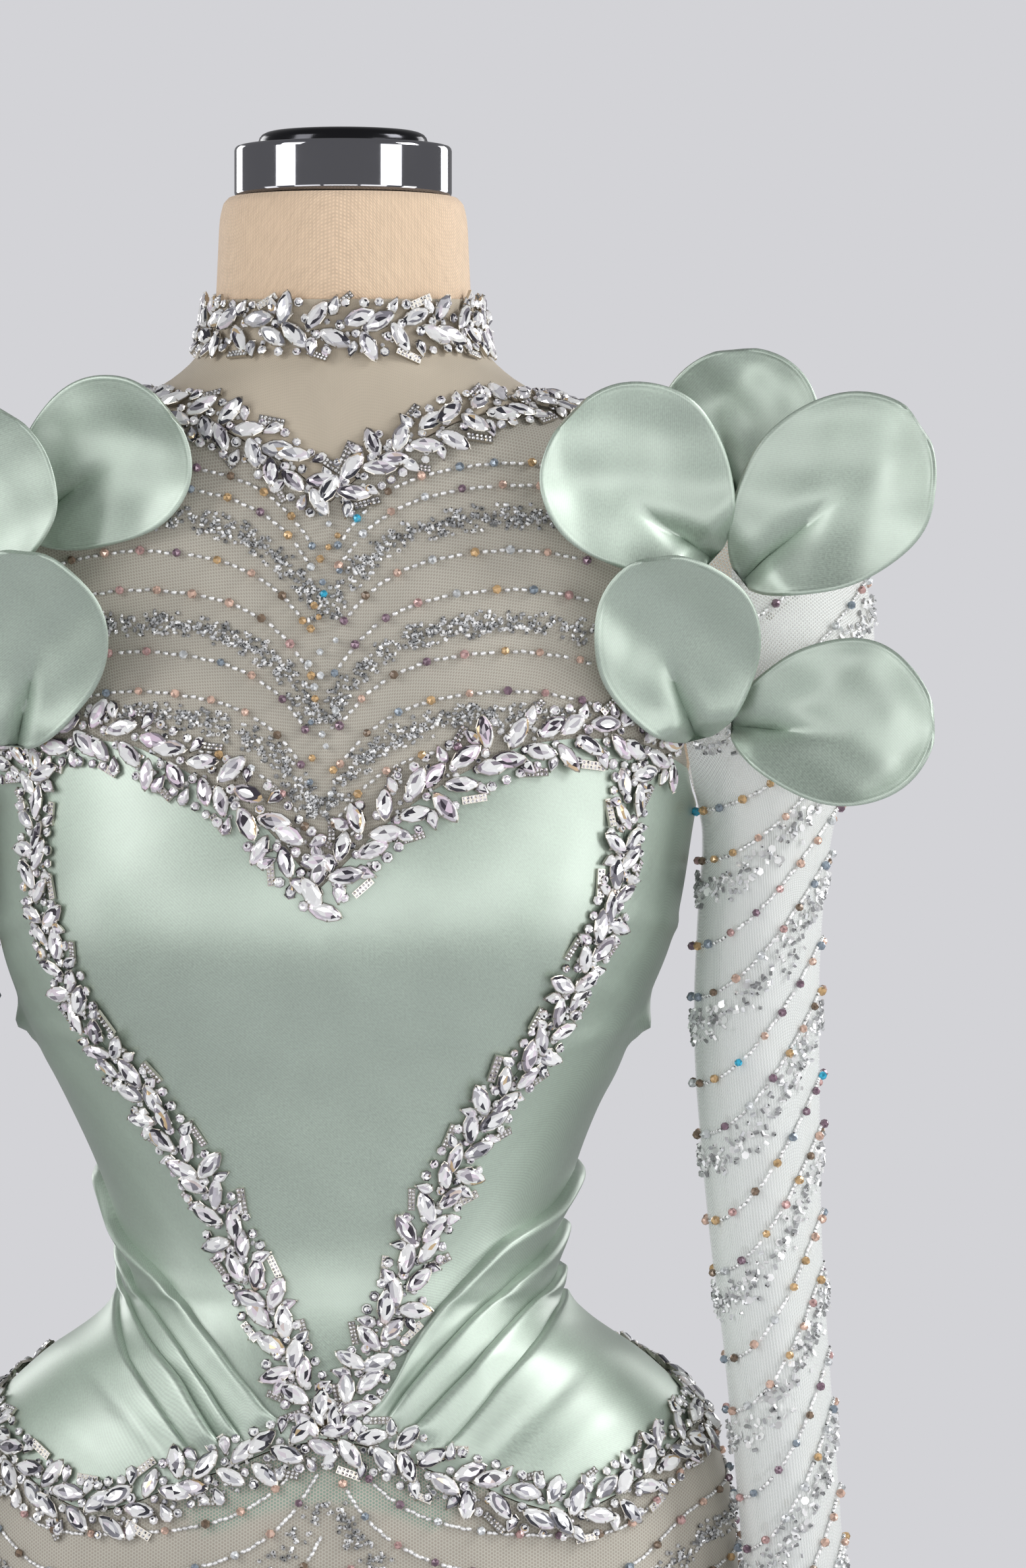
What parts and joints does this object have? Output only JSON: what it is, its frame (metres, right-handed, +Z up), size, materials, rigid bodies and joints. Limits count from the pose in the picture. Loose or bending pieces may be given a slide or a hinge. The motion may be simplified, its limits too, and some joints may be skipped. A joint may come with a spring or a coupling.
{
  "type": "column evening dress on a dress form",
  "caption": "Floor-length column evening dress with beaded net yoke, sleeves and skirt, satin bodice, petals and crystal bands, worn by a limbless dress form",
  "frame": {"origin": "on the floor at the middle of the stand's round foot", "axes": "+Z up; the dress faces -Y; the wearer's left side is +X"},
  "size_m": [0.5423, 0.3403, 1.6016],
  "materials": {
    "linen": "plain woven linen canvas, matt",
    "chrome": "polished",
    "black_chrome": "dark polished",
    "fine_net": "fine power net, matt",
    "beaded_net": "net on a nude base, beaded",
    "sheer_net": "sheer net, beaded",
    "sage_satin": "satin, soft sheen",
    "crystal": "foiled cut glass in silver settings",
    "glass_bead": "cut glass beads",
    "silver_bead": "silver-lined glass seed beads",
    "zip_nylon": "nylon coil"
  },
  "bodies": {
    "dress": {"bead_yoke_back_left": "beaded_net", "bead_yoke_back_right": "beaded_net", "bead_yoke_front": "beaded_net", "bodice_back_left": "sage_satin", "bodice_back_right": "sage_satin", "bodice_front": "sage_satin", "bodice_side_left": "sage_satin", "bodice_side_right": "sage_satin", "bust_band": "crystal", "choker_band": "crystal", "form_torso": "linen", "heart_band_left": "crystal", "heart_band_right": "crystal", "hip_band_left": "crystal", "hip_band_right": "crystal", "hip_drape_left": "sage_satin", "hip_drape_right": "sage_satin", "neck_cap": "chrome", "neck_cap_disc": "black_chrome", "neck_yoke_back_left": "fine_net", "neck_yoke_back_right": "fine_net", "neck_yoke_front": "fine_net", "neckline_band_back_left": "crystal", "neckline_band_back_right": "crystal", "neckline_band_front": "crystal", "petal_left_back": "sage_satin", "petal_left_front": "sage_satin", "petal_left_inner": "sage_satin", "petal_left_outer": "sage_satin", "petal_left_side": "sage_satin", "petal_right_back": "sage_satin", "petal_right_front": "sage_satin", "petal_right_inner": "sage_satin", "petal_right_outer": "sage_satin", "petal_right_side": "sage_satin", "skirt_back_left": "beaded_net", "skirt_back_right": "beaded_net", "skirt_front": "beaded_net", "sleeve_left": "sheer_net", "sleeve_right": "sheer_net", "stand_foot": "chrome", "stand_pole": "chrome", "zip_slider": "chrome", "zip_teeth": "zip_nylon"},
    "pull": {"zip_pull": "chrome"}
  },
  "joints": [
    {"name": "zip_pull_swing", "type": "hinge", "parent": "dress", "child": "pull", "pos_m": [0, 0.06969, 1.49293], "axis": [1, 0, 0], "range_deg": [0, 150]}
  ]
}
